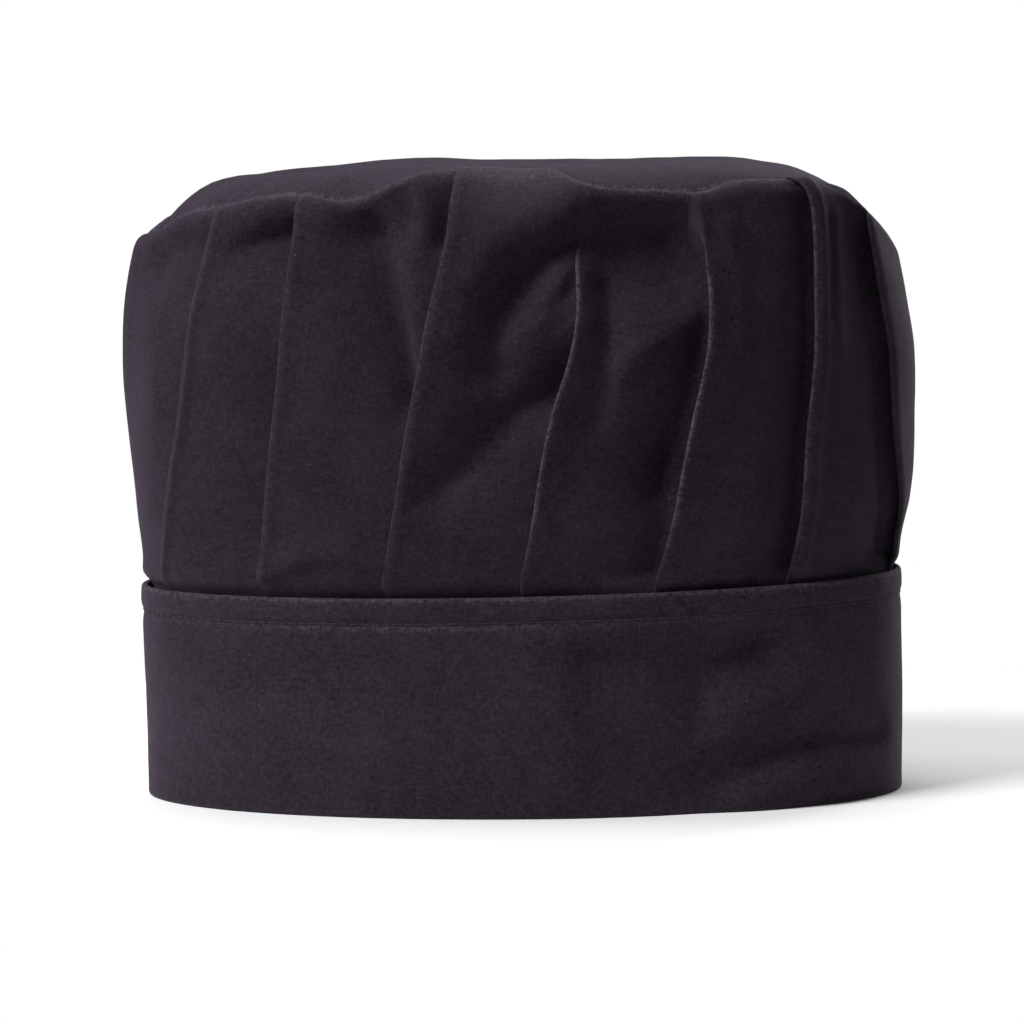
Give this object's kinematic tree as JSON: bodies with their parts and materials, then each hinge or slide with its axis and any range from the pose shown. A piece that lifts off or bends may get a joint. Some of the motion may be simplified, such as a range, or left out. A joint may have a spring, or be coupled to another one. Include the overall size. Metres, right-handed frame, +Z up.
{
  "type": "chef hat",
  "caption": "Cloth chef hat with a straight wide band and a low, full crown in knife pleats under a soft top panel.",
  "frame": {"origin": "middle of the hat's box at the level of the band's lower edge, on the surface that the hat rests on", "axes": "+Z up through the crown; -Y towards the front that the picture shows; +X to the right seen from the front"},
  "size_m": [0.2453, 0.1555, 0.1965],
  "materials": {
    "band_cloth": "matt plain-weave cotton, doubled and topstitched",
    "crown_cloth": "matt plain-weave cotton"
  },
  "bodies": {
    "root": {"band": "band_cloth", "crown_side": "crown_cloth", "crown_top": "crown_cloth"}
  },
  "joints": []
}
